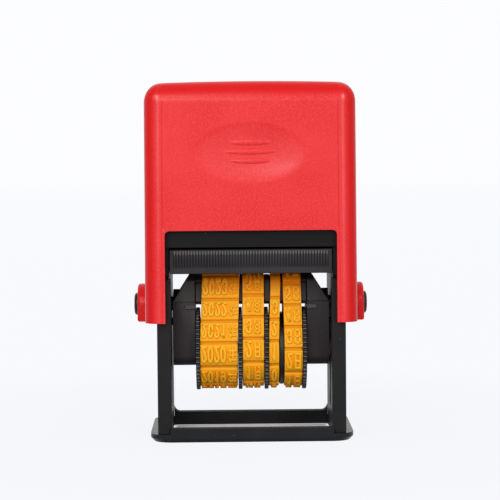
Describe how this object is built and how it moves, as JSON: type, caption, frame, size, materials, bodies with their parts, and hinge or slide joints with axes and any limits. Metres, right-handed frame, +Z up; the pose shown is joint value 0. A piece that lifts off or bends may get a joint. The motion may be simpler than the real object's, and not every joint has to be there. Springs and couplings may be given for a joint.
{
  "type": "date coding stamp",
  "caption": "Hand-held self-inking date stamp: a press cap slides down a frame and flips a banded date unit from its ink pad to the paper.",
  "frame": {"origin": "middle of the foot's underside", "axes": "+Z up, from the foot to the press cap's top; +X to the user's right, along the pivot pins; +Y away from the user"},
  "size_m": [0.064, 0.0374, 0.0963],
  "materials": {
    "cap_red": "fine spark-eroded texture, soft sheen",
    "frame_black": "moulded, satin",
    "unit_black": "moulded, satin",
    "wheel_black": "moulded, satin",
    "tray_black": "moulded, finely ribbed front",
    "band_orange": "moulded rubber",
    "pad_felt": "felt soaked with ink",
    "steel": "drawn wire and turned steel"
  },
  "bodies": {
    "frame": {"frame": "frame_black", "base_foot": "frame_black", "return_spring": "steel"},
    "cap": {"press_cap": "cap_red"},
    "date_unit": {"wheel_bracket": "unit_black", "platen_block": "unit_black", "wheel_shaft": "steel", "shaft_clip": "steel", "pivot_pin_left": "frame_black", "pivot_pin_right": "frame_black", "year_band": "band_orange", "month_band": "band_orange", "tens_band": "band_orange", "ones_band": "band_orange"},
    "year_setting": {"year_wheel": "wheel_black"},
    "month_setting": {"month_wheel": "wheel_black"},
    "tens_setting": {"tens_wheel": "wheel_black"},
    "ones_setting": {"ones_wheel": "wheel_black"},
    "ink_cassette": {"pad_tray": "tray_black", "ink_pad": "pad_felt"}
  },
  "joints": [
    {"name": "cap_press", "type": "slide", "parent": "frame", "child": "cap", "axis": [0, 0, -1], "range_m": [0, 0.02685], "stiffness_N_per_m": 300, "springref_m": -0.02, "deforming": ["return_spring"]},
    {"name": "unit_flip", "type": "hinge", "parent": "cap", "child": "date_unit", "pos_m": [0, 0, 0.03595], "axis": [1, 0, 0], "range_deg": [0, 180]},
    {"name": "year_turn", "type": "hinge", "parent": "date_unit", "child": "year_setting", "pos_m": [-0.009, 0, 0.02345], "axis": [1, 0, 0], "continuous": true},
    {"name": "month_turn", "type": "hinge", "parent": "date_unit", "child": "month_setting", "pos_m": [0, 0, 0.02345], "axis": [1, 0, 0], "continuous": true},
    {"name": "tens_turn", "type": "hinge", "parent": "date_unit", "child": "tens_setting", "pos_m": [0.005, 0, 0.02345], "axis": [1, 0, 0], "continuous": true},
    {"name": "ones_turn", "type": "hinge", "parent": "date_unit", "child": "ones_setting", "pos_m": [0.011, 0, 0.02345], "axis": [1, 0, 0], "continuous": true},
    {"name": "cassette_slide", "type": "slide", "parent": "frame", "child": "ink_cassette", "axis": [0, -1, 0], "range_m": [0, 0.036]}
  ],
  "couplings": [
    {"joint": "unit_flip", "follows": "cap_press", "rad_per_m": 117.01}
  ]
}
